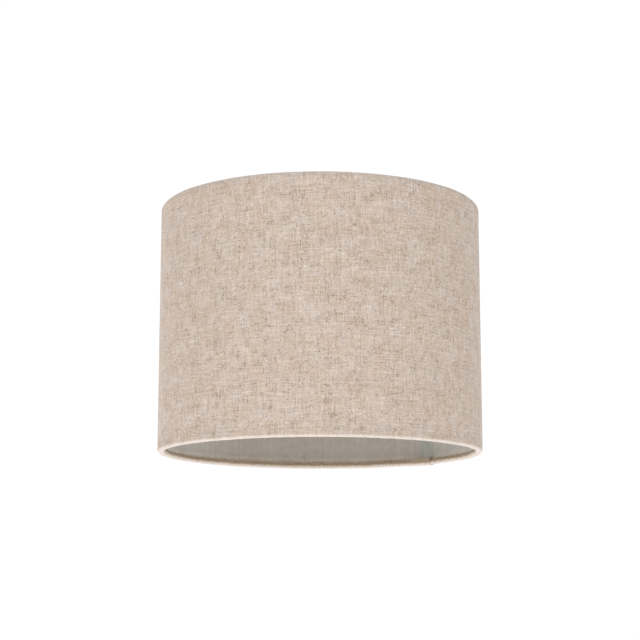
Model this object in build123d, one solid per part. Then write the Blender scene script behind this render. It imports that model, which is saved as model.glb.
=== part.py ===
from build123d import *
import math
import os

# A drum lamp shade. A linen cover is laminated to a stiff lining and rolled into a drum with one
# vertical overlap seam. Its long edges are rolled round two taped wire rings and tucked behind them.
# The top ring carries three spider wires, a pressed fitter ring and a loose reducer ring.
# Millimetres, +Z up. The origin is the middle of the bottom rim, on the plane that the rim stands on.

# Driving dimensions of the drum
SHADE_RADIUS = 100.0  # outer face of the linen
SHADE_HEIGHT = 153.5
LINEN = 0.42
LINING = 0.30
TAPE = 0.10
GLUE = 0.02  # film between one layer and the next
WIRE_RADIUS = 1.5  # both rings

# The overlap seam, in degrees anticlockwise from +X seen from above. From its inner end the panel
# runs clockwise right round the drum and on over itself.
SEAM_START = 47.7  # free edge of the inner end of the panel
SEAM_WIDTH = 6.2
SEAM_CLIMB = 8.0  # where the outer end rises before it lies over the inner end
SEAM_TAPE_MARGIN = 0.3
SEAM_FLAP_MARGIN = 0.8  # mm, how far the flap over the seam stops short of both rims

# Where the rolled edge ends, in degrees round the ring's wire from the lining
TUCK_ANGLE = 42.0
TAPE_GAP_ANGLE = 10.0  # half the gap between the long edges of the tape, at the lining

# Spider and fitter
SPOKE_ANGLES = (90.0, 210.0, 330.0)
SPOKE_RADIUS = 1.25
SPOKE_LEVEL_RUN = 12.0  # from the top ring's wire inwards to the first bend
SPOKE_INNER_RUN = 10.0  # outside the fitter ring's edge, to the second bend
SPOKE_BEND = 8.0
WELD_RADIUS = 1.6
WELD_LENGTH = 1.2
WELD_BITE = 0.15  # how far the wire is pressed into the fitter ring's underside
SLIT_CLEARANCE = 0.15  # room round the weld in the rolled edge
FITTER_DROP = 15.0  # top of the shade to the top of the fitter ring
FITTER_BORE = 21.0
FITTER_RADIUS = 28.0
FITTER_SHEET = 1.2
FITTER_COLLAR = 5.0
FITTER_ROUND = 0.5  # rounding of its outer edge and its mouth
FITTER_ROOT = 1.0  # inside of the bend between washer and collar

# Reducer ring
REDUCER_BORE = 14.5
REDUCER_FLANGE_RADIUS = 24.5
REDUCER_FLANGE = 1.6
REDUCER_CLEARANCE = 0.05
REDUCER_WALL = 1.5
REDUCER_DEPTH = 3.6
REDUCER_RIBS = 6
REDUCER_RIB = 1.2
REDUCER_RIB_DEPTH = 2.8
REDUCER_ROUND = 0.4

# What follows from them
LAMINATE = LINEN + GLUE + LINING
LAP = LAMINATE + GLUE + TAPE + GLUE  # how far out the panel's outer end lies
LINING_OUTER = SHADE_RADIUS - LINEN - GLUE
LINING_INNER = SHADE_RADIUS - LAMINATE
TAPED_WIRE = WIRE_RADIUS + GLUE + TAPE
ROLL_INNER = TAPED_WIRE + GLUE
ROLL_OUTER = ROLL_INNER + LINEN
RING_RADIUS = LINING_INNER - GLUE - TAPED_WIRE
BOTTOM_RING_Z = ROLL_OUTER
TOP_RING_Z = SHADE_HEIGHT - ROLL_OUTER
FITTER_TOP = SHADE_HEIGHT - FITTER_DROP


def polar(radius, degrees):
    """A point at this radius and angle from +X."""
    return (radius * math.cos(math.radians(degrees)), radius * math.sin(math.radians(degrees)))


def turned(profile):
    """The solid that a profile of (radius, height) makes when it is turned round the axis."""
    return revolve(Plane.XZ * profile, axis=Axis.Z)


def mirrored_to_top(solid):
    """The same solid at the other end of the drum."""
    return mirror(solid, about=Plane.XY.offset(SHADE_HEIGHT / 2))


def climb(radius):
    """The curve on which a layer at this radius rises outwards by one overlap."""
    first = SEAM_START + SEAM_CLIMB
    ends = [polar(radius, first), polar(radius + LAP, SEAM_START)]
    directions = [polar(1, first - 90), polar(1, SEAM_START - 90)]
    return Spline(*ends, tangents=directions)


def lap_end(radius):
    """The arc of a layer where it lies over the panel's inner end."""
    return CenterArc((0, 0), radius + LAP, SEAM_START, -SEAM_WIDTH)


def layer_outline(outer, thickness):
    """Seen from above, one layer of the panel from its inner end right round to its outer end."""
    inner = outer - thickness
    last = SEAM_START - SEAM_WIDTH
    once_round = SEAM_CLIMB - 360
    lines = [
        CenterArc((0, 0), outer, SEAM_START, once_round),
        climb(outer),
        lap_end(outer),
        Line(polar(outer + LAP, last), polar(inner + LAP, last)),
        lap_end(inner),
        climb(inner),
        CenterArc((0, 0), inner, SEAM_START, once_round),
        Line(polar(inner, SEAM_START), polar(outer, SEAM_START)),
    ]
    return make_face(Curve() + lines)


def flap_outline(outer, thickness):
    """Seen from above, only the part of a layer that rises and lies over the inner end."""
    inner = outer - thickness
    first = SEAM_START + SEAM_CLIMB
    last = SEAM_START - SEAM_WIDTH
    lines = [
        climb(outer),
        lap_end(outer),
        Line(polar(outer + LAP, last), polar(inner + LAP, last)),
        lap_end(inner),
        climb(inner),
        Line(polar(inner, first), polar(outer, first)),
    ]
    return make_face(Curve() + lines)


def standing(outline, margin):
    """An outline raised into a wall that stops this far from both ends of the drum."""
    return Pos(0, 0, margin) * extrude(outline, SHADE_HEIGHT - 2 * margin)


def roll_profile():
    """The linen round the bottom ring: from the wall, under the ring, up inside it and over it."""
    corner = (SHADE_RADIUS - ROLL_OUTER, BOTTOM_RING_Z)
    wire = (RING_RADIUS, BOTTOM_RING_Z)
    sweep_back = TUCK_ANGLE - 270
    outer_end = CenterArc(wire, ROLL_OUTER, 270, sweep_back)
    inner_end = CenterArc(wire, ROLL_INNER, 270, sweep_back)
    lines = [
        CenterArc(corner, ROLL_OUTER, 270, 90),
        Line((RING_RADIUS, 0), (corner[0], 0)),
        outer_end,
        Line(outer_end @ 1, inner_end @ 1),
        inner_end,
        Line((RING_RADIUS, LINEN), (corner[0], LINEN)),
        CenterArc(corner, ROLL_INNER, 270, 90),
        Line((SHADE_RADIUS - LINEN, BOTTOM_RING_Z), (SHADE_RADIUS, BOTTOM_RING_Z)),
    ]
    return make_face(Curve() + lines)


def spoke_slits():
    """The slots that let the three spokes and their welds through the top rolled edge."""
    half_width = WELD_RADIUS + SLIT_CLEARANCE
    mouth = RING_RADIUS - ROLL_OUTER - 1
    eye_end = RING_RADIUS - WIRE_RADIUS / 2
    cut_end = LINING_INNER - GLUE
    eye = Rot(0, 90, 0) * Cylinder(half_width, eye_end - mouth)
    cut = Box(cut_end - mouth, 2 * half_width, 2 * half_width)
    slit = Pos((mouth + eye_end) / 2, 0, TOP_RING_Z) * eye
    slit += Pos((mouth + cut_end) / 2, 0, TOP_RING_Z - half_width) * cut
    return [Rot(0, 0, angle) * slit for angle in SPOKE_ANGLES]


def linen_cover():
    wall = standing(layer_outline(SHADE_RADIUS, LINEN), BOTTOM_RING_Z)
    flap = standing(flap_outline(SHADE_RADIUS, LINEN), SEAM_FLAP_MARGIN)
    bottom_roll = turned(roll_profile())
    top_roll = mirrored_to_top(bottom_roll) - spoke_slits()
    return wall + flap + bottom_roll + top_roll


def pvc_lining():
    return standing(layer_outline(LINING_OUTER, LINING), BOTTOM_RING_Z)


def seam_tape():
    """The strip between the two ends of the panel, a little narrower than the overlap."""
    first = SEAM_START - SEAM_TAPE_MARGIN
    width = 2 * SEAM_TAPE_MARGIN - SEAM_WIDTH
    outer = CenterArc((0, 0), SHADE_RADIUS + GLUE + TAPE, first, width)
    inner = CenterArc((0, 0), SHADE_RADIUS + GLUE, first, width)
    ends = [Line(outer @ 0, inner @ 0), Line(outer @ 1, inner @ 1)]
    return standing(make_face(Curve() + [outer, inner] + ends), BOTTOM_RING_Z)


def ring(height):
    return Pos(0, 0, height) * Torus(RING_RADIUS, WIRE_RADIUS)


def ring_tape():
    """Tape wrapped lengthwise round the bottom ring's wire, its long edges apart at the lining."""
    wire = (RING_RADIUS, BOTTOM_RING_Z)
    wrap = 360 - 2 * TAPE_GAP_ANGLE
    outer = CenterArc(wire, TAPED_WIRE, TAPE_GAP_ANGLE, wrap)
    inner = CenterArc(wire, WIRE_RADIUS + GLUE, TAPE_GAP_ANGLE, wrap)
    ends = [Line(outer @ 0, inner @ 0), Line(outer @ 1, inner @ 1)]
    return turned(make_face(Curve() + [outer, inner] + ends))


def top_ring_tape():
    return mirrored_to_top(ring_tape()) - spoke_slits()


def rounded(outline, places, radius):
    """An outline with the corners nearest to these places rounded."""
    corners = [outline.vertices().sort_by_distance((*place, 0))[0] for place in places]
    return fillet(corners, radius)


def fitter_ring():
    """A pressed washer with a collar turned down round its hole."""
    collar_radius = FITTER_BORE + FITTER_SHEET
    underside = FITTER_TOP - FITTER_SHEET
    foot = FITTER_TOP - FITTER_COLLAR
    mouth = (FITTER_BORE, FITTER_TOP)
    edge = (FITTER_RADIUS, FITTER_TOP)
    root = (collar_radius, underside)
    outline = make_face(
        Polyline(
            (FITTER_BORE, foot),
            mouth,
            edge,
            (FITTER_RADIUS, underside),
            root,
            (collar_radius, foot),
            close=True,
        )
    )
    outline = rounded(outline, [mouth, edge], FITTER_ROUND)
    return turned(rounded(outline, [root], FITTER_ROOT))


def spoke(angle):
    """One spider wire, level at the top ring, sloping down, and level again under the fitter ring."""
    inner_z = FITTER_TOP - FITTER_SHEET - SPOKE_RADIUS + WELD_BITE
    inner_end = FITTER_BORE + FITTER_SHEET
    route = FilletPolyline(
        (RING_RADIUS - WIRE_RADIUS / 2, 0, TOP_RING_Z),
        (RING_RADIUS - SPOKE_LEVEL_RUN, 0, TOP_RING_Z),
        (FITTER_RADIUS + SPOKE_INNER_RUN, 0, inner_z),
        (inner_end, 0, inner_z),
        radius=SPOKE_BEND,
    )
    wire = sweep(Plane(route @ 0, z_dir=route % 0) * Circle(SPOKE_RADIUS), path=route)
    weld_end = RING_RADIUS - WIRE_RADIUS - WELD_LENGTH
    weld_start = RING_RADIUS - WIRE_RADIUS / 2
    weld = Cone(SPOKE_RADIUS, WELD_RADIUS, weld_start - weld_end)
    wire += Pos((weld_start + weld_end) / 2, 0, TOP_RING_Z) * Rot(0, 90, 0) * weld
    return Rot(0, 0, angle) * wire - ring(TOP_RING_Z) - fitter_ring()


def reducer_ring():
    """A plastic ring that hangs in the fitter ring by its flange, with a smaller hole."""
    flange_top = FITTER_TOP + REDUCER_FLANGE
    foot = FITTER_TOP - REDUCER_DEPTH
    wall_outer = FITTER_BORE - REDUCER_CLEARANCE
    wall_inner = wall_outer - REDUCER_WALL
    collar_outer = REDUCER_BORE + REDUCER_WALL
    outline = make_face(
        Polyline(
            (REDUCER_BORE, foot),
            (REDUCER_BORE, flange_top),
            (REDUCER_FLANGE_RADIUS, flange_top),
            (REDUCER_FLANGE_RADIUS, FITTER_TOP),
            (wall_outer, FITTER_TOP),
            (wall_outer, foot),
            (wall_inner, foot),
            (wall_inner, FITTER_TOP),
            (collar_outer, FITTER_TOP),
            (collar_outer, foot),
            close=True,
        )
    )
    soft_corners = [
        (REDUCER_BORE, foot),
        (REDUCER_BORE, flange_top),
        (REDUCER_FLANGE_RADIUS, flange_top),
        (wall_outer, foot),
    ]
    body = turned(rounded(outline, soft_corners, REDUCER_ROUND))
    rib_length = wall_inner - collar_outer + REDUCER_WALL
    rib = Box(rib_length, REDUCER_RIB, REDUCER_RIB_DEPTH)
    rib_place = Pos((wall_inner + collar_outer) / 2, 0, FITTER_TOP - REDUCER_RIB_DEPTH / 2)
    for number in range(REDUCER_RIBS):
        body += Rot(0, 0, 360 * number / REDUCER_RIBS) * rib_place * rib
    return body


def main():
    parts = {
        "linen_cover": linen_cover(),
        "pvc_lining": pvc_lining(),
        "seam_tape": seam_tape(),
        "bottom_ring": ring(BOTTOM_RING_Z),
        "top_ring": ring(TOP_RING_Z),
        "bottom_ring_tape": ring_tape(),
        "top_ring_tape": top_ring_tape(),
        "fitter_ring": fitter_ring(),
        "reducer_ring": reducer_ring(),
    }
    for number, angle in enumerate(SPOKE_ANGLES, start=1):
        parts[f"spoke_{number}"] = spoke(angle)
    os.makedirs("parts", exist_ok=True)
    for name, solid in parts.items():
        export_step(solid, f"parts/{name}.step")


main()
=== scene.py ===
"""Looks of a linen drum lamp shade with rolled edges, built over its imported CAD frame."""

import math

import bpy
import numpy as np
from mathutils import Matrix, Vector

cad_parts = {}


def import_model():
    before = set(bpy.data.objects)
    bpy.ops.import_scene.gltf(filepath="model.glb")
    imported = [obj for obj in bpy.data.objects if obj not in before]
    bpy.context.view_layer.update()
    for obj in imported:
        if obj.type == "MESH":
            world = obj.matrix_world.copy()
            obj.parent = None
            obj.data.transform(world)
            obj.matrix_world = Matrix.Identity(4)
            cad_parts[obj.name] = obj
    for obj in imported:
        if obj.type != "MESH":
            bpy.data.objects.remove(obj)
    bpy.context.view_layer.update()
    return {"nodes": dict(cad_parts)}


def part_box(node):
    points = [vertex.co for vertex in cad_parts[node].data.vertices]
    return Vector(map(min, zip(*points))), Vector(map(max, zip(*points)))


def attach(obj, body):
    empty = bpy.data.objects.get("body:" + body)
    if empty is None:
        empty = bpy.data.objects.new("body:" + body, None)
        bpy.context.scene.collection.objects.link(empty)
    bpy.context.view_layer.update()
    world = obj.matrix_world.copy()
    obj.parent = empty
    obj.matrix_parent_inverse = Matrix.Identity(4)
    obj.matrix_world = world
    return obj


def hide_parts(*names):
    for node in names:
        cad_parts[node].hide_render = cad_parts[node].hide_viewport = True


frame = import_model()

MM = 0.001

# Cloth, film and glue, as in the CAD (metres)
LINEN = 0.42 * MM
LINING = 0.30 * MM
GLUE = 0.02 * MM
LAP = 0.88 * MM  # how far out the panel's outer end lies over its inner end

# The overlap seam, in degrees: the panel starts here and runs clockwise, seen from above
SEAM_START = 47.7
SEAM_WIDTH = 6.2
SEAM_CLIMB = 8.0  # the outer end rises along this much before it lies over the inner end
PANEL_TURN = 360 + SEAM_WIDTH
SPOKE_ANGLES = (90, 210, 330)

# The drum's and rings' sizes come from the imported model
COVER_LOW, COVER_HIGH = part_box("linen_cover")
RING_LOW, RING_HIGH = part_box("bottom_ring")
RADIUS = (COVER_HIGH[0] - COVER_LOW[0]) / 2
HEIGHT = COVER_HIGH[2] - COVER_LOW[2]
WIRE_RADIUS = (RING_HIGH[2] - RING_LOW[2]) / 2
RING_RADIUS = (RING_HIGH[0] - RING_LOW[0]) / 2 - WIRE_RADIUS
RING_Z = (RING_HIGH[2] + RING_LOW[2]) / 2
SEAM_RUN = RADIUS * math.radians(SEAM_WIDTH)  # how far the panel's two ends overlap

# The rolled edges, round the wire
ROLL_OUTER = RING_Z
ROLL_INNER = ROLL_OUTER - LINEN
ROLL_MIDDLE = (ROLL_OUTER + ROLL_INNER) / 2
TUCK_ANGLE = 42.0  # where the turned-in edge ends, from the side that faces the lining
TUCK_WAVE = 5.0
ARC_STEPS = 18
CORNER_STEPS = 6
WALL_STEPS = 20
COLUMN_STEP = 0.75  # degrees
WALL_WAVE = 0.10 * MM
ROLL_WAVE = 0.09 * MM

# Distances up the cloth, from the lowest point of the bottom roll
FLAT_RUN = RADIUS - ROLL_OUTER - RING_RADIUS  # level stretch under the ring
FOOT_RUN = FLAT_RUN + ROLL_MIDDLE * math.pi / 2  # where the wall begins
WHOLE_RUN = 2 * FOOT_RUN + HEIGHT - 2 * RING_Z  # the highest point of the top roll
HEAD_RUN = WHOLE_RUN - FOOT_RUN  # where the wall ends

# A spoke's slot in the top roll: half its width, then a narrow strip in which its sides run
SLOT_EYE = 1.75 * MM
SLOT_SIDE = 1.87 * MM
SLOT_HALF = math.degrees(SLOT_EYE / (RING_RADIUS - ROLL_MIDDLE))
SLOT_STRIP = math.degrees(SLOT_SIDE / (RING_RADIUS - ROLL_MIDDLE))
SLOT_COLUMNS = [SLOT_HALF * share for share in (0, 0.3, 0.52, 0.7, 0.84, 0.94, 1)]
SLOT_COLUMNS += [SLOT_HALF + (SLOT_STRIP - SLOT_HALF) * share / 12 for share in range(1, 13)]

# Cloth: its threads, its colours, and where the colour changes on the turned-in edge
WEAVE_MAP = "Weave"
WARP_PITCH = 0.52 * MM
WEFT_PITCH = 0.56 * MM
WARP_SWAY = 1.1 * MM
WEFT_SWAY = 1.5 * MM
WEAVE_DEPTH = 0.09 * MM
DARK_LINEN = (0.387, 0.276, 0.188)
LIGHT_LINEN = (0.766, 0.671, 0.614)
SLUB_COLOR = (0.245, 0.178, 0.130)
PALE_COLOR = (0.745, 0.690, 0.650)
GREY_CAST = (1.005, 1.027, 1.051)
TAN_CAST = (0.990, 0.967, 0.937)
# Painted shade: the greyer band just below the top rim
TOP_SHADE_CAST = (0.925, 0.940, 0.955)
# Painted highlight: the paler rolled rims
RIM_HIGHLIGHT_COLOR = (0.790, 0.735, 0.690)
# Brown of the turned-in edge: glue-soaked cloth, darkened further as painted shade in the crease
TUCK_GLUE_SHADE_COLOR = (0.405, 0.285, 0.170)
# Pale cut edge, lightened further as painted light against the crease's shade
CUT_FILL_LIGHT_COLOR = (0.740, 0.650, 0.550)
TUCK_FROM = ROLL_MIDDLE * math.radians(66)
TUCK_TO = ROLL_MIDDLE * math.radians(96)
CUT_FROM = ROLL_MIDDLE * math.radians(118)
CUT_TO = ROLL_MIDDLE * math.radians(150)
RAGGED = 6.5 * MM  # how unevenly those colours begin

# Film
# Painted light: the film's colour on the drum's sides and, darker, front and back
LINING_SIDE_LIGHT = (0.560, 0.534, 0.490)
LINING_BACK_SHADE = (0.472, 0.424, 0.374)
DOUBLED_CAST = (0.85, 0.92, 0.95)  # less light comes through the cloth where it is double
# Painted light: the film lighter beside each ring, for light through the cloth that fills the crease's
# shade
RING_FILL_LIGHT = 1.75  # how much lighter the film is right beside a ring

# Coat, plastic, tape and loose fibres
WIRE_WHITE = (0.76, 0.76, 0.74)
STEEL_WHITE = (0.78, 0.78, 0.76)
PLASTIC_WHITE = (0.80, 0.80, 0.775)
TAPE_DARK = (0.66, 0.61, 0.50)
TAPE_LIGHT = (0.74, 0.70, 0.60)
FIBRE_TONES = {
    "loose_fibre": ((0.430, 0.295, 0.180), (0.710, 0.580, 0.450)),
    "pale_fibre": ((0.700, 0.570, 0.420), (0.880, 0.780, 0.650)),
    # Painted shade: loose threads coloured darker for the shade in the crease and at the seam's step
    "shade_dark_fibre": ((0.230, 0.155, 0.095), (0.430, 0.320, 0.215)),
}
FIBRE_BENDS = 3
FIBRE_CURL = 0.35
FIBRE_CLUMPS = 150
LONGEST_FIBRE = 1.8  # mm

# Camera, floor, sky and light
LENS = 93.82  # mm, on a sensor 36 mm wide
CAMERA_PLACE = (0.0, -1.028, -0.1036)
CAMERA_PITCH = 10.36  # degrees above level
FLOOR_Z = -1.0
FLOOR_RADIUS = 10.0
FLOOR_CORNERS = 64
FLOOR_GREY = (0.86, 0.86, 0.855)
SKY_LEVEL = 1.03
SKY_TOP = 0.50
SKY_DIMS = (0.40, 0.65)  # heights between which the sky gets dimmer, 1 straight overhead
SHADE_MIDDLE = (0, 0, 0.07)


# ---------------------------------------------------------------- small tools


def smooth(value):
    """0 to 1 with soft ends, of a value that runs from 0 to 1."""
    value = np.clip(value, 0, 1)
    return value * value * (3 - 2 * value)


def ripple(degrees, seed, waves):
    """A smooth random height round the drum, about -1 to 1, the same after each full turn."""
    rng = np.random.default_rng(seed)
    total = np.zeros_like(degrees)
    for wave in waves:
        phase = rng.uniform(0, 2 * math.pi)
        size = rng.uniform(0.5, 1)
        total += size * np.sin(np.radians(degrees) * wave + phase)
    return total / (1.2 * math.sqrt(len(waves)))


def around(degrees, radius, height):
    """Points at these angles from +X, radii and heights."""
    angle = np.radians(degrees)
    return np.stack(np.broadcast_arrays(radius * np.cos(angle), radius * np.sin(angle), height), axis=-1)


def new_object(name, vertices, faces, material, smooth_angle=40):
    mesh = bpy.data.meshes.new(name)
    mesh.from_pydata(vertices, [], faces)
    mesh.update()
    mesh.polygons.foreach_set("use_smooth", [True] * len(mesh.polygons))
    mesh.set_sharp_from_angle(angle=math.radians(smooth_angle))
    mesh.materials.append(material)
    piece = bpy.data.objects.new(name, mesh)
    bpy.context.collection.objects.link(piece)
    return piece


def shell(name, outer, inner, uv, material):
    """A closed sheet from two grids of points, rows by columns, with its weave coordinates."""
    rows, columns = outer.shape[:2]
    count = rows * columns
    index = np.arange(count).reshape(rows, columns)
    front = [index[:-1, :-1], index[:-1, 1:], index[1:, 1:], index[1:, :-1]]
    back = [part + count for part in front[::-1]]
    rim = np.concatenate([index[0, :], index[1:, -1], index[-1, -2::-1], index[-2:0:-1, 0]])
    ahead = np.roll(rim, -1)
    faces = [np.stack([part.ravel() for part in front], axis=1)]
    faces.append(np.stack([part.ravel() for part in back], axis=1))
    faces.append(np.stack([ahead, rim, rim + count, ahead + count], axis=1))
    faces = np.concatenate(faces)
    vertices = np.concatenate([outer.reshape(-1, 3), inner.reshape(-1, 3)])
    piece = new_object(name, vertices.tolist(), faces.tolist(), material)
    layer = piece.data.uv_layers.new(name=WEAVE_MAP)
    both = np.concatenate([uv.reshape(-1, 2), uv.reshape(-1, 2)])
    corners = np.empty(len(piece.data.loops), dtype=np.int32)
    piece.data.loops.foreach_get("vertex_index", corners)
    layer.uv.foreach_set("vector", both[corners].astype(np.float32).ravel())
    return piece


# ---------------------------------------------------------------- materials


class Nodes:
    """Short names for building one material's nodes."""

    def __init__(self, name):
        self.material = bpy.data.materials.new(name)
        self.material.use_nodes = True
        self.tree = self.material.node_tree
        self.shader = self.tree.nodes["Principled BSDF"]

    def put(self, socket, value):
        if isinstance(value, bpy.types.NodeSocket):
            self.tree.links.new(value, socket)
        elif isinstance(value, tuple):
            socket.default_value = (*value, 1.0)
        else:
            socket.default_value = value

    def math(self, operation, *values, clamp=False):
        node = self.tree.nodes.new("ShaderNodeMath")
        node.operation = operation
        node.use_clamp = clamp
        for socket, value in zip(node.inputs, values):
            self.put(socket, value)
        return node.outputs[0]

    def plus(self, first, second):
        return self.math("ADD", first, second)

    def minus(self, first, second):
        return self.math("SUBTRACT", first, second)

    def times(self, first, second):
        return self.math("MULTIPLY", first, second)

    def lerp(self, factor, first, second):
        return self.plus(first, self.times(factor, self.minus(second, first)))

    def split(self, vector):
        node = self.tree.nodes.new("ShaderNodeSeparateXYZ")
        self.put(node.inputs[0], vector)
        return node.outputs

    def cloth(self):
        """How far round and how far up the cloth, in metres."""
        node = self.tree.nodes.new("ShaderNodeUVMap")
        node.uv_map = WEAVE_MAP
        return self.split(node.outputs[0])[:2]

    def place(self):
        """Where the surface is, in metres."""
        return self.tree.nodes.new("ShaderNodeTexCoord").outputs["Object"]

    def vector(self, x, y, z=0.0):
        node = self.tree.nodes.new("ShaderNodeCombineXYZ")
        for socket, value in zip(node.inputs, (x, y, z)):
            self.put(socket, value)
        return node.outputs[0]

    def noise(self, vector, scale, detail, roughness=0.5):
        node = self.tree.nodes.new("ShaderNodeTexNoise")
        self.put(node.inputs["Vector"], vector)
        node.inputs["Scale"].default_value = scale
        node.inputs["Detail"].default_value = detail
        node.inputs["Roughness"].default_value = roughness
        return node.outputs["Fac"]

    def streaks(self, x, x_scale, y, y_scale, layer, detail, roughness=0.5):
        """Noise with its own scale each way. Each layer number gives another pattern."""
        place = self.vector(self.times(x, x_scale), self.times(y, y_scale), layer)
        return self.noise(place, 1, detail, roughness)

    def random(self, number):
        """A random number for each whole number."""
        node = self.tree.nodes.new("ShaderNodeTexWhiteNoise")
        node.noise_dimensions = "1D"
        self.put(node.inputs["W"], number)
        return node.outputs["Value"]

    def between(self, value, low, high, to_low=0.0, to_high=1.0, kind="SMOOTHSTEP"):
        node = self.tree.nodes.new("ShaderNodeMapRange")
        node.interpolation_type = kind
        for socket, number in zip(node.inputs, (value, low, high, to_low, to_high)):
            self.put(socket, number)
        return node.outputs[0]

    def linear(self, value, low, high, to_low=0.0, to_high=1.0):
        return self.between(value, low, high, to_low, to_high, "LINEAR")

    def vary(self, noise, to_low, to_high):
        """A noise's usual range, stretched to this one."""
        return self.linear(noise, 0.3, 0.7, to_low, to_high)

    def mix(self, factor, first, second, blend="MIX"):
        node = self.tree.nodes.new("ShaderNodeMix")
        node.data_type = "RGBA"
        node.blend_type = blend
        sockets = (node.inputs[0], node.inputs[6], node.inputs[7])
        for socket, value in zip(sockets, (factor, first, second)):
            self.put(socket, value)
        return node.outputs[2]

    def cast(self, color, factors):
        """A colour times another."""
        return self.mix(1.0, color, factors, "MULTIPLY")

    def tint(self, color, factor):
        """A colour made lighter or darker by a factor."""
        node = self.tree.nodes.new("ShaderNodeCombineColor")
        for socket in node.inputs:
            self.put(socket, factor)
        return self.cast(color, node.outputs[0])

    def bump(self, height, distance, strength):
        node = self.tree.nodes.new("ShaderNodeBump")
        node.inputs["Strength"].default_value = strength
        node.inputs["Distance"].default_value = distance
        self.put(node.inputs["Height"], height)
        self.put(self.shader.inputs["Normal"], node.outputs[0])

    def finish(self, color, roughness, **fixed):
        self.put(self.shader.inputs["Base Color"], color)
        self.put(self.shader.inputs["Roughness"], roughness)
        for name, value in fixed.items():
            self.shader.inputs[name.replace("_", " ")].default_value = value
        return self.material


class Weave:
    """Plain weave, thread by thread: each thread's number, height and tone."""

    def __init__(self, n, u, v):
        # Threads wander a little, and sit at uneven distances
        sway = n.times(n.minus(n.noise(n.vector(u, v, 3.0), 90, 2), 0.5), WARP_SWAY)
        drift = n.times(n.minus(n.noise(n.vector(v, u, 9.0), 70, 2), 0.5), WEFT_SWAY)
        warp_at = n.math("DIVIDE", n.plus(u, sway), WARP_PITCH)
        weft_at = n.math("DIVIDE", n.plus(v, drift), WEFT_PITCH)
        self.warp = n.math("FLOOR", warp_at)
        self.weft = n.math("FLOOR", weft_at)
        warp_across = n.minus(n.math("FRACT", warp_at), 0.5)
        weft_across = n.minus(n.math("FRACT", weft_at), 0.5)

        # Slow changes along each thread: thin places and slubs
        along_warp = n.streaks(self.warp, 7.31, v, 190.0, 0.0, 3, 0.65)
        along_weft = n.streaks(u, 180.0, self.weft, 5.77, 4.0, 3, 0.65)
        warp_width = n.between(along_warp, 0.25, 0.75, 0.36, 0.52)
        weft_width = n.between(along_weft, 0.25, 0.75, 0.34, 0.54)

        # Round threads that pass over and under each other
        over = n.times(self.alternate(n, self.warp), self.alternate(n, self.weft))
        warp_lift = n.times(n.times(over, n.math("COSINE", n.times(weft_across, math.pi))), 0.45)
        weft_lift = n.times(n.times(over, n.math("COSINE", n.times(warp_across, math.pi))), 0.45)
        warp_high = n.times(self.round_top(n, warp_across, warp_width), n.plus(0.55, warp_lift))
        weft_high = n.times(self.round_top(n, weft_across, weft_width), n.minus(0.55, weft_lift))
        self.height = n.math("MAXIMUM", warp_high, weft_high)
        self.is_weft = n.between(n.minus(weft_high, warp_high), -0.06, 0.06)

        warp_random = n.random(self.warp)
        weft_random = n.random(n.plus(self.weft, 5000.5))
        warp_tone = n.plus(n.linear(warp_random, 0, 1, 0.94, 1.06), n.vary(along_warp, -0.19, 0.17))
        weft_tone = n.plus(n.linear(weft_random, 0, 1, 0.94, 1.06), n.vary(along_weft, -0.19, 0.17))
        self.tone = n.lerp(self.is_weft, warp_tone, weft_tone)
        self.crossing = n.random(n.plus(self.warp, n.times(self.weft, 1733.0)))

    @staticmethod
    def alternate(n, thread):
        """1 for every other thread and -1 for the rest."""
        return n.minus(1.0, n.times(n.math("FLOORED_MODULO", thread, 2.0), 2.0))

    @staticmethod
    def round_top(n, across, width):
        share = n.math("DIVIDE", across, width)
        return n.math("SQRT", n.math("MAXIMUM", n.minus(1.0, n.times(share, share)), 0.0))


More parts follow.
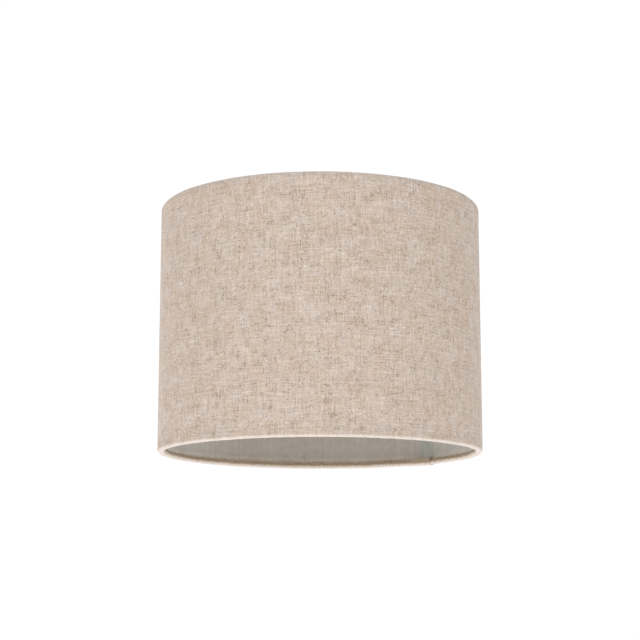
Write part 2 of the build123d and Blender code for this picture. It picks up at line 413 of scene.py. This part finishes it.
def cloth_color(n, weave, u, v):
    """The cloth's colour away from its edges."""
    # Tone: each thread's and each crossing's own, faint strokes both ways, and painted shade darkening
    # the gaps between threads
    upright = n.streaks(u, 850.0, v, 75.0, 70.0, 2, 0.6)
    level = n.streaks(u, 75.0, v, 850.0, 80.0, 2, 0.6)
    thick = n.noise(n.vector(u, v, 70.0), 130, 3, 0.6)
    tone = weave.tone
    for noise, least, most in ((upright, 0.93, 1.07), (level, 0.93, 1.07), (thick, 1.065, 0.935)):
        tone = n.times(tone, n.vary(noise, least, most))
    color = n.mix(n.linear(tone, 0.6, 1.4), DARK_LINEN, LIGHT_LINEN)
    color = n.tint(color, n.linear(weave.crossing, 0, 1, 0.90, 1.10))
    # Painted shade: darker where the threads are low, in the gaps between them
    color = n.tint(color, n.linear(weave.height, 0.0, 0.75, 0.72, 1.03))

    more = n.vary(thick, 0.06, -0.06)

    def stretches(layers, scales, starts, softness):
        """Parts of single threads, of the warp and of the weft, more of them in some places."""
        parts = []
        for along, thread, kind in ((v, weave.warp, 0), (u, weave.weft, 1)):
            noise = n.streaks(along, scales[kind], thread, 3.97, layers[kind], 1)
            start = starts[kind]
            parts.append(n.between(n.minus(noise, more), start, start + softness))
        return n.lerp(weave.is_weft, *parts)

    # Pale strokes, pale and brown stretches of thread, and here and there a long darker thread
    strokes = n.math("MAXIMUM", n.between(upright, 0.62, 0.74), n.between(level, 0.62, 0.74))
    color = n.mix(n.times(strokes, 0.30), color, PALE_COLOR)
    pale = stretches((40.0, 50.0), (110.0, 100.0), (0.64, 0.64), 0.10)
    color = n.mix(n.times(pale, 0.55), color, PALE_COLOR)
    flecks = stretches((20.0, 30.0), (250.0, 300.0), (0.625, 0.615), 0.09)
    color = n.mix(n.times(flecks, 0.82), color, SLUB_COLOR)
    strands = stretches((60.0, 90.0), (55.0, 60.0), (0.65, 0.67), 0.08)
    color = n.mix(n.times(strands, 0.48), color, SLUB_COLOR)
    knots = n.between(n.noise(n.vector(n.times(u, 1.5), v, 100.0), 560, 1), 0.69, 0.76)
    color = n.mix(n.times(knots, 0.85), color, SLUB_COLOR)

    # Cloudy: tan in one place and pale grey in the next
    cloud = n.noise(n.vector(u, v, 90.0), 85, 3, 0.6)
    return n.mix(n.between(cloud, 0.36, 0.64), n.cast(color, GREY_CAST), n.cast(color, TAN_CAST))


def edge_color(n, color, u, v):
    """That colour with what the rolled edges change."""
    # Painted shade: greyer just below the top rim, where little light falls from overhead; and a little
    # darker just above the bottom one
    below_top = n.between(v, HEAD_RUN - 2.8 * MM, HEAD_RUN + 0.3 * MM)
    over_top = n.between(v, HEAD_RUN + 0.7 * MM, HEAD_RUN + 2.0 * MM, 1.0, 0.0)
    color = n.mix(n.times(below_top, over_top), color, n.cast(color, TOP_SHADE_CAST))
    color = n.tint(color, n.between(v, FOOT_RUN + 0.5 * MM, FOOT_RUN + 11 * MM, 0.95, 1.0))

    # Painted highlight: paler round the rims, for light catching the rolls; brown where it is turned in,
    # partly glue and partly painted shade in the crease; and pale at the cut, partly the cut edge and
    # partly painted light over the crease's shade
    past = n.minus(n.math("ABSOLUTE", n.minus(v, WHOLE_RUN / 2)), WHOLE_RUN / 2)
    rim_highlight = n.between(past, 0.2 * MM - FOOT_RUN, 1.6 * MM - FOOT_RUN)
    color = n.mix(n.times(rim_highlight, 0.45), color, RIM_HIGHLIGHT_COLOR)
    strands = n.streaks(u, 1300.0, v, 260.0, 8.0, 4, 0.7)
    bunches = n.streaks(u, 520.0, v, 160.0, 9.0, 4, 0.7)
    ragged = n.minus(n.plus(n.times(strands, 0.45), n.times(bunches, 0.55)), 0.5)
    past = n.plus(past, n.times(ragged, RAGGED))
    # Brown turned-in edge: glue and painted shade
    color = n.mix(n.times(n.between(past, TUCK_FROM, TUCK_TO), 0.88), color, TUCK_GLUE_SHADE_COLOR)
    # Pale cut edge and painted light over the crease's shade
    return n.mix(n.times(n.between(past, CUT_FROM, CUT_TO), 0.80), color, CUT_FILL_LIGHT_COLOR)


def linen_material():
    n = Nodes("linen_weave")
    u, v = n.cloth()
    weave = Weave(n, u, v)
    color = edge_color(n, cloth_color(n, weave, u, v), u, v)
    roughness = n.between(weave.height, 0.2, 1.0, 0.96, 0.80)
    n.bump(weave.height, WEAVE_DEPTH, 0.75)
    return n.finish(
        color, roughness, Sheen_Weight=0.30, Sheen_Roughness=0.25, Specular_IOR_Level=0.08
    )


def lining_material():
    """Matt film with the faint upright streaks of its rolling, and the cloth's tone behind it. Painted
    light: lighter and cooler on the drum's sides, darker and warmer front and back, lighter beside the
    rings and bluer where the cloth is double, all standing in for light through the cloth.
    """
    n = Nodes("lining_film")
    u, v = n.cloth()
    streak = n.streaks(u, 420.0, v, 9.0, 0.0, 3, 0.6)
    broad = n.streaks(u, 60.0, v, 12.0, 5.0, 2)
    shadow = n.streaks(u, 240.0, v, 230.0, 7.0, 3, 0.6)
    grain = n.noise(n.vector(u, v, 2.0), 2600, 2)
    # Painted light and shade: the film cooler and lighter on the sides, warmer and darker front and back
    side = n.math("ABSOLUTE", n.split(n.place())[1])
    back_shade = n.between(side, 0.45 * RADIUS, 0.95 * RADIUS)
    back_shade = n.math("ADD", back_shade, n.vary(shadow, -0.05, 0.05), clamp=True)
    color = n.mix(back_shade, LINING_SIDE_LIGHT, LINING_BACK_SHADE)
    from_low = n.minus(v, 2 * RING_Z)
    from_high = n.minus(HEIGHT - 2 * RING_Z, v)
    near_ring = n.math("MINIMUM", from_low, from_high)
    # Painted light beside the rings
    color = n.tint(color, n.between(near_ring, 0.2 * MM, 4.0 * MM, RING_FILL_LIGHT, 1.0))
    doubled = n.between(u, SEAM_RUN - 0.8 * MM, SEAM_RUN + 0.8 * MM, 1.0, 0.0)
    color = n.mix(doubled, color, n.cast(color, DOUBLED_CAST))
    tone = n.plus(n.vary(streak, -0.065, 0.065), n.vary(broad, 0.96, 1.04))
    color = n.tint(color, n.plus(tone, n.vary(shadow, -0.085, 0.085)))
    color = n.tint(color, n.vary(grain, 0.985, 1.015))
    n.bump(grain, 0.02 * MM, 0.5)
    return n.finish(color, n.between(streak, 0.2, 0.8, 0.55, 0.68), Specular_IOR_Level=0.35)


def coat_material(name, color, roughness, scale, depth):
    """Powder coat with a fine orange-peel surface."""
    n = Nodes(name)
    peel = n.noise(n.place(), scale, 3, 0.55)
    wear = n.noise(n.place(), scale / 30, 3, 0.6)
    n.bump(peel, depth, 0.6)
    rough = n.vary(wear, roughness - 0.06, roughness + 0.08)
    color = n.tint(color, n.linear(wear, 0.25, 0.75, 0.96, 1.04))
    return n.finish(color, rough, Specular_IOR_Level=0.5)


def plastic_material():
    n = Nodes("moulded_plastic")
    grain = n.noise(n.place(), 5200, 2)
    flow = n.noise(n.place(), 90, 3, 0.6)
    color = n.tint(PLASTIC_WHITE, n.linear(flow, 0.25, 0.75, 0.965, 1.03))
    n.bump(grain, 0.015 * MM, 0.5)
    return n.finish(color, n.vary(flow, 0.34, 0.46), Specular_IOR_Level=0.5)


def tape_material():
    n = Nodes("adhesive_tape")
    creases = n.noise(n.place(), 1400, 3, 0.65)
    stain = n.noise(n.place(), 160, 2)
    color = n.mix(stain, TAPE_DARK, TAPE_LIGHT)
    color = n.tint(color, n.vary(creases, 0.93, 1.04))
    n.bump(creases, 0.04 * MM, 0.6)
    return n.finish(color, n.between(creases, 0.3, 0.7, 0.32, 0.5), Specular_IOR_Level=0.5)


def fibre_material(name):
    n = Nodes(name)
    mottle = n.noise(n.place(), 1500, 2)
    color = n.mix(n.between(mottle, 0.35, 0.65), *FIBRE_TONES[name])
    return n.finish(color, 0.9, Sheen_Weight=0.2, Sheen_Roughness=0.5, Specular_IOR_Level=0.2)


def floor_material():
    n = Nodes("floor_paint")
    grain = n.noise(n.place(), 40, 3)
    return n.finish(n.tint(FLOOR_GREY, n.vary(grain, 0.995, 1.005)), 0.9)


# ---------------------------------------------------------------- cover and lining


def lapped(turn):
    """0 where the panel lies on the drum's own circle, 1 where it lies over its inner end."""
    return smooth((turn - 360 + SEAM_CLIMB) / SEAM_CLIMB)


def wall_shift(turn):
    """How far out of the drum's own circle the wall stands: the overlap and a slight waviness."""
    return LAP * lapped(turn) + WALL_WAVE * ripple(SEAM_START - turn, 3, (3, 5, 7, 11, 16))


def panel_columns():
    """How far round the panel each column of points is, in degrees from its inner end."""
    at = np.linspace(0, PANEL_TURN, int(round(PANEL_TURN / COLUMN_STEP)) + 1)
    slots = [(SEAM_START - angle) % 360 for angle in SPOKE_ANGLES]
    at = [turn for turn in at if all(abs(turn - slot) > SLOT_STRIP + 0.2 for slot in slots)]
    for slot in slots:
        for offset in SLOT_COLUMNS:
            at += [slot - offset, slot + offset] if offset else [slot]
    return np.array(sorted(at))


def tuck_ends(turn, seed, slotted):
    """The angle round the wire at which the turned-in cloth ends, column by column."""
    ends = TUCK_ANGLE + TUCK_WAVE * ripple(SEAM_START - turn, seed, (5, 9, 14, 23, 37, 61))
    if not slotted:
        return ends
    for angle in SPOKE_ANGLES:
        offset = np.abs(turn - (SEAM_START - angle) % 360)
        inside = offset <= SLOT_HALF * 1.0001
        clear = SLOT_EYE * np.sqrt(np.clip(1 - (offset / SLOT_HALF) ** 2, 0, 1))
        eye = 180 + np.degrees(np.arcsin(np.clip(clear / ROLL_MIDDLE, 0, 0.999)))
        ends = np.where(inside, eye, ends)
        side = (offset > SLOT_HALF * 1.0001) & (offset < SLOT_STRIP)
        share = (offset - SLOT_HALF) / (SLOT_STRIP - SLOT_HALF)
        ends = np.where(side, 180 + (ends - 180) * share, ends)
    return ends


def rolled_edge(end, wall_radius, outer, inner):
    """One rolled edge, from the turned-in end to the wall: radii, heights and places on the cloth."""
    rows = {"outer": [], "inner": [], "along": []}
    faces = (("outer", outer), ("inner", inner))
    for step in range(ARC_STEPS + 1):
        angle = np.radians(end + (270 - end) * step / ARC_STEPS)
        for face, size in faces:
            rows[face].append((RING_RADIUS + size * np.cos(angle), RING_Z + size * np.sin(angle)))
        rows["along"].append((ROLL_MIDDLE + outer - ROLL_OUTER) * (angle - 1.5 * math.pi))
    corner = wall_radius - outer
    for step in range(CORNER_STEPS + 1):
        share = step / CORNER_STEPS
        angle = math.radians(270 + 90 * share)
        for face, size in faces:
            rows[face].append((corner + size * math.cos(angle), RING_Z + size * math.sin(angle)))
        rows["along"].append(np.full_like(wall_radius, FLAT_RUN + (FOOT_RUN - FLAT_RUN) * share))
    return rows


def linen_cover():
    """The cloth, from the bottom roll's turned-in end up the wall to the top roll's."""
    turn = panel_columns()
    degrees = SEAM_START - turn
    wall_radius = RADIUS + wall_shift(turn)
    thicker = (LINEN + 2 * GLUE) * lapped(turn)
    edges = []
    for seed, slotted in ((11, False), (12, True)):
        puff = ROLL_WAVE * ripple(degrees, seed + 20, (7, 13, 22, 35, 52, 81, 118))
        outer = ROLL_OUTER + thicker + puff
        inner = ROLL_INNER + thicker + puff * 0.5
        edges.append(rolled_edge(tuck_ends(turn, seed, slotted), wall_radius, outer, inner))
    low, high = edges
    wall = np.linspace(RING_Z, HEIGHT - RING_Z, WALL_STEPS + 1)[1:-1]
    grids = {}
    for face, thickness in (("outer", 0), ("inner", LINEN)):
        rows = list(low[face])
        rows += [(wall_radius - thickness, np.full_like(turn, z)) for z in wall]
        rows += [(radius, HEIGHT - height) for radius, height in reversed(high[face])]
        radii = np.array([radius for radius, _ in rows])
        heights = np.array([height for _, height in rows])
        grids[face] = around(degrees, radii, heights)
    along = list(low["along"])
    along += [np.full_like(turn, FOOT_RUN + z - RING_Z) for z in wall]
    along += [WHOLE_RUN - row for row in reversed(high["along"])]
    uv = np.stack(np.broadcast_arrays(RADIUS * np.radians(turn), np.array(along)), axis=-1)
    return shell("woven_cover", grids["outer"], grids["inner"], uv, linen_material())


def lining():
    """The film behind the cloth, on the same curve."""
    turn = np.linspace(0, PANEL_TURN, 489)
    heights = np.linspace(RING_Z, HEIGHT - RING_Z, 17)[:, None]
    radius = RADIUS - LINEN - GLUE + wall_shift(turn)
    outer = around(SEAM_START - turn, radius, heights)
    inner = around(SEAM_START - turn, radius - LINING, heights)
    uv = np.stack(np.broadcast_arrays(RADIUS * np.radians(turn), heights), axis=-1)
    return shell("lining_film", outer, inner, uv, lining_material())


# ---------------------------------------------------------------- loose fibres


def fibres(name, roots, directions, lengths, thickness, material, seed):
    """Many thin curling fibres, each a closed three-sided spike."""
    rng = np.random.default_rng(seed)
    vertices = []
    faces = []
    for root, direction, length, width in zip(roots, directions, lengths, thickness):
        direction = Vector(direction).normalized()
        side = direction.cross(Vector(rng.normal(size=3))).normalized()
        other = direction.cross(side)
        curl = Vector(rng.normal(size=3)) * FIBRE_CURL
        start = len(vertices)
        for bend in range(FIBRE_BENDS):
            share = bend / FIBRE_BENDS
            centre = Vector(root) + (direction + curl * share) * length * share
            size = width * (1 - 0.6 * share) / 2
            for corner in range(3):
                angle = 2 * math.pi * corner / 3
                spoke = side * math.cos(angle) + other * math.sin(angle)
                vertices.append(tuple(centre + spoke * size))
        vertices.append(tuple(Vector(root) + (direction + curl) * length))
        tip = len(vertices) - 1
        faces.append((start + 2, start + 1, start))
        for bend in range(FIBRE_BENDS - 1):
            base = start + 3 * bend
            for corner in range(3):
                after = (corner + 1) % 3
                faces.append((base + corner, base + after, base + 3 + after, base + 3 + corner))
        base = start + 3 * (FIBRE_BENDS - 1)
        faces += [(base + corner, base + (corner + 1) % 3, tip) for corner in range(3)]
    return new_object(name, vertices, faces, material, 180)


def frayed_edge(name, count, seed, at_top, stand_share, longest, material):
    """Loose fibres on the turned-in edge: most lie over the roll, the rest stand out of it."""
    rng = np.random.default_rng(seed)
    clumps = rng.uniform(0, 360, FIBRE_CLUMPS)
    roots, directions, lengths, thickness = [], [], [], []
    while len(roots) < count:
        clumped = rng.random() < 0.55
        if clumped:
            degrees = (rng.choice(clumps) + rng.normal(0, 0.22)) % 360
        else:
            degrees = rng.uniform(0, 360)
        if at_top and min(abs((degrees - angle + 180) % 360 - 180) for angle in SPOKE_ANGLES) < 2:
            continue
        thick = 0.45 * MM if -SEAM_WIDTH < degrees - SEAM_START < SEAM_CLIMB else 0
        stands = rng.random() < stand_share
        bend = math.radians(rng.uniform(60, 130) if stands else rng.uniform(95, 178))
        angle = math.radians(degrees)
        outward = Vector((math.cos(angle), math.sin(angle), 0))
        tangent = Vector((-math.sin(angle), math.cos(angle), 0))
        normal = outward * math.cos(bend) + Vector((0, 0, math.sin(bend)))
        over = outward * math.sin(bend) - Vector((0, 0, math.cos(bend)))
        lift = rng.uniform(0.4, 1.2) if stands else rng.uniform(0.05, 0.45)
        lean = rng.choice([-1, 1]) * rng.uniform(0.4, 1)
        direction = normal * lift + over * lean + tangent * rng.normal(0, 0.6)
        usual = rng.random() < 0.93
        length = rng.uniform(0.3, longest) if usual else rng.uniform(longest, LONGEST_FIBRE)
        centre = outward * RING_RADIUS + Vector((0, 0, RING_Z))
        point = centre + normal * (ROLL_OUTER + thick - 0.04 * MM)
        if at_top:
            point.z = HEIGHT - point.z
            direction.z = -direction.z
        roots.append(point)
        directions.append(direction)
        lengths.append(length * MM)
        thickness.append(rng.uniform(0.08, 0.19) * MM)
    return fibres(name, roots, directions, lengths, thickness, material, seed + 1)


def seam_tuft(name, count, seed, reach, along, material):
    """Loose warp ends where the panel's outer end is rolled over the bottom ring."""
    rng = np.random.default_rng(seed)
    roots, directions, lengths, thickness = [], [], [], []
    angle = math.radians(SEAM_START - SEAM_WIDTH)
    outward = Vector((math.cos(angle), math.sin(angle), 0))
    clockwise = Vector((math.sin(angle), -math.cos(angle), 0))
    for _ in range(count):
        bend = math.radians(rng.uniform(95, 215))
        size = ROLL_OUTER + rng.uniform(0.30, 0.50) * MM
        point = outward * (RING_RADIUS + size * math.cos(bend))
        point += Vector((0, 0, RING_Z + size * math.sin(bend)))
        point -= clockwise * rng.uniform(*reach) * MM
        away = -outward * rng.uniform(0.0, 0.7) + Vector((0, 0, rng.normal(0.2, 0.35)))
        roots.append(point)
        directions.append(clockwise * along + away)
        lengths.append(rng.uniform(0.4, 1.5) * MM)
        thickness.append(rng.uniform(0.16, 0.32) * MM)
    return fibres(name, roots, directions, lengths, thickness, material, seed + 1)


# ---------------------------------------------------------------- build

cover = linen_cover()
film = lining()
loose = fibre_material("loose_fibre")
pale = fibre_material("pale_fibre")
dark = fibre_material("shade_dark_fibre")
bottom_fray = frayed_edge("bottom_fray", 1500, 41, False, 0.3, 0.9, loose)
# Loose threads standing at the bottom crease, dark as painted shade
bottom_threads = frayed_edge("bottom_threads", 800, 61, False, 0.7, 1.5, dark)
top_fray = frayed_edge("top_fray", 1200, 51, True, 0.3, 0.9, loose)
tuft = seam_tuft("seam_fray", 150, 77, (-0.4, 2.2), 0.15, pale)
# Loose ends at the seam's step, dark as a painted shadow beside the outer end
dark_ends = seam_tuft("seam_ends_and_shadow", 26, 87, (-2.3, -0.5), 0.5, dark)

for piece in (cover, bottom_fray, bottom_threads, top_fray, tuft, dark_ends):
    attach(piece, "shade")
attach(film, "shade")
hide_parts("linen_cover")
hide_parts("pvc_lining")

wire_coat = coat_material("powder_coat_wire", WIRE_WHITE, 0.42, 2200, 0.03 * MM)
steel_coat = coat_material("powder_coat_steel", STEEL_WHITE, 0.40, 1800, 0.04 * MM)
finishes = {
    wire_coat: ("bottom_ring", "top_ring"),
    steel_coat: ("fitter_ring", "spoke_1", "spoke_2", "spoke_3"),
    plastic_material(): ("reducer_ring",),
    tape_material(): ("bottom_ring_tape", "top_ring_tape", "seam_tape"),
}
for material, nodes in finishes.items():
    for node in nodes:
        for slot in frame["nodes"][node].material_slots:
            slot.material = material


# ---------------------------------------------------------------- camera, floor and light


def camera():
    data = bpy.data.cameras.new("camera")
    data.sensor_width = 36.0
    data.lens = LENS
    data.clip_start = 0.01
    data.clip_end = 100.0
    view = bpy.data.objects.new("camera", data)
    view.location = CAMERA_PLACE
    view.rotation_euler = (math.radians(90 + CAMERA_PITCH), 0, 0)
    bpy.context.collection.objects.link(view)
    bpy.context.scene.camera = view


def floor():
    edge = np.linspace(0, 360, FLOOR_CORNERS, endpoint=False)
    points = [(0.0, 0.0, FLOOR_Z)] + around(edge, FLOOR_RADIUS, FLOOR_Z).tolist()
    faces = [(0, 1 + k, 1 + (k + 1) % FLOOR_CORNERS) for k in range(FLOOR_CORNERS)]
    new_object("floor", points, faces, floor_material())


def world():
    """White all round at the height of the view, and dimmer overhead."""
    sky = bpy.data.worlds.new("studio")
    bpy.context.scene.world = sky
    sky.use_nodes = True
    tree = sky.node_tree
    where = tree.nodes.new("ShaderNodeTexCoord")
    split = tree.nodes.new("ShaderNodeSeparateXYZ")
    dim = tree.nodes.new("ShaderNodeMapRange")
    tree.links.new(where.outputs["Generated"], split.inputs[0])
    tree.links.new(split.outputs[2], dim.inputs["Value"])
    dim.inputs["From Min"].default_value = SKY_DIMS[0]
    dim.inputs["From Max"].default_value = SKY_DIMS[1]
    dim.inputs["To Min"].default_value = SKY_LEVEL
    dim.inputs["To Max"].default_value = SKY_TOP
    tree.links.new(dim.outputs[0], tree.nodes["Background"].inputs["Strength"])
    tree.nodes["Background"].inputs["Color"].default_value = (1.0, 1.0, 1.0, 1.0)


def area_light(name, place, target, size, power, spread=180.0):
    """A square light, its size in metres, its power in watts and its spread in degrees."""
    data = bpy.data.lights.new(name, "AREA")
    data.shape = "SQUARE"
    data.size = size
    data.energy = power
    data.spread = math.radians(spread)
    light = bpy.data.objects.new(name, data)
    light.location = place
    aim = Vector(target) - Vector(place)
    light.rotation_euler = aim.to_track_quat("-Z", "Y").to_euler()
    light.visible_camera = False
    bpy.context.collection.objects.link(light)


camera()
floor()
world()
area_light("light_below", (0, 0, FLOOR_Z + 0.02), (0, 0, 0), 4.0, 47.0)
area_light("key", (-0.30, -2.1, 0.5), SHADE_MIDDLE, 1.0, 10.5)
area_light("rim_left", (-1.5, 1.4, -0.5), SHADE_MIDDLE, 0.8, 0.9, 60.0)
area_light("rim_right", (1.3, 1.6, -0.5), SHADE_MIDDLE, 0.8, 0.3, 60.0)
bpy.context.scene.view_settings.view_transform = "Standard"
